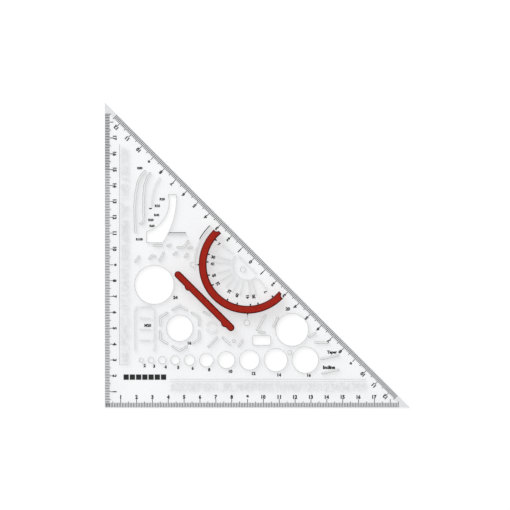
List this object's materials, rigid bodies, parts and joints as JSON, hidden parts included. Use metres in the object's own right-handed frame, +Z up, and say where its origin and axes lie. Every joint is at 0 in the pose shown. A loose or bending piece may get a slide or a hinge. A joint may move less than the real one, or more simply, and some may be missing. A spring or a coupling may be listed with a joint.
{
  "type": "set square",
  "caption": "Clear 45 degree set square with millimetre scales, protractor, drawing stencils and removable red grips.",
  "frame": {"origin": "zero mark of the hypotenuse scale, on the plate's underside, where it lies on the paper", "axes": "+Z up through the plate's thickness; +X along the bottom leg away from the right angle; +Y along the other leg away from the right angle"},
  "size_m": [0.1924, 0.1924, 0.008],
  "materials": {
    "clear_acrylic": "clear, polished, with a very slight cool tint",
    "red_plastic": "moulded, satin gloss",
    "black_ink": "printed ink"
  },
  "bodies": {
    "plate": {"plate": "clear_acrylic"},
    "arc_grip": {"arc_grip": "red_plastic"},
    "bar_grip": {"bar_grip": "red_plastic"}
  },
  "joints": [
    {"name": "arc_grip_lift", "type": "slide", "parent": "plate", "child": "arc_grip", "axis": [0, 0, 1], "range_m": [0, 0.012]},
    {"name": "bar_grip_lift", "type": "slide", "parent": "plate", "child": "bar_grip", "axis": [0, 0, 1], "range_m": [0, 0.012]}
  ]
}
